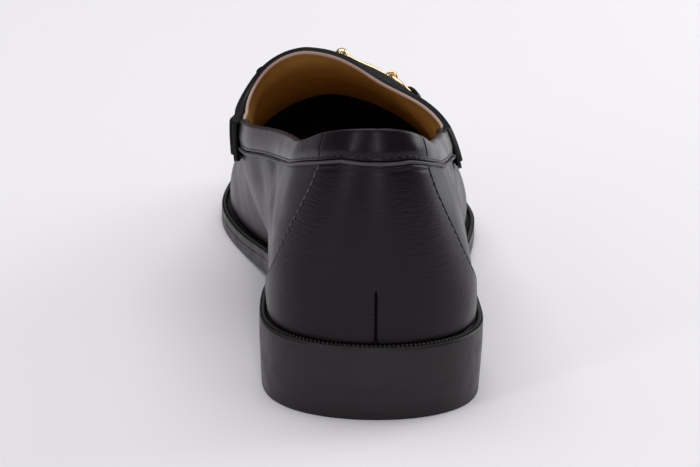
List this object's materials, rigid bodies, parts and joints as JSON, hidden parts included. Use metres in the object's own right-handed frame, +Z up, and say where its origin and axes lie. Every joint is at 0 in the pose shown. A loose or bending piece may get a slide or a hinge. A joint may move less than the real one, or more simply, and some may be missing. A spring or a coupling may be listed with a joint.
{
  "type": "loafer",
  "caption": "Slip-on leather loafer for the right foot, with a low heel, a saddle strap over the instep and a snaffle-style bit.",
  "frame": {"origin": "middle of the bottom of the shoe's box, on the floor", "axes": "+Y from heel to toe, +X towards the outer side, +Z up"},
  "size_m": [0.0858, 0.262, 0.081],
  "materials": {
    "leather": "smooth polished calf, black",
    "sole_edge": "black painted edge, satin",
    "lining": "unpolished tan lining leather",
    "gold_metal": "polished, pale gold plate"
  },
  "bodies": {
    "root": {"outsole": "sole_edge", "heel": "sole_edge", "welt": "sole_edge", "insole": "lining", "upper": "leather", "counter": "leather", "collar_band": "leather", "collar_piping": "leather", "saddle_strap": "leather", "apron_seam": "leather", "bit_bar": "gold_metal", "bit_ring_medial": "gold_metal", "bit_ring_lateral": "gold_metal", "bit_loop_medial": "leather", "bit_loop_lateral": "leather"}
  },
  "joints": []
}
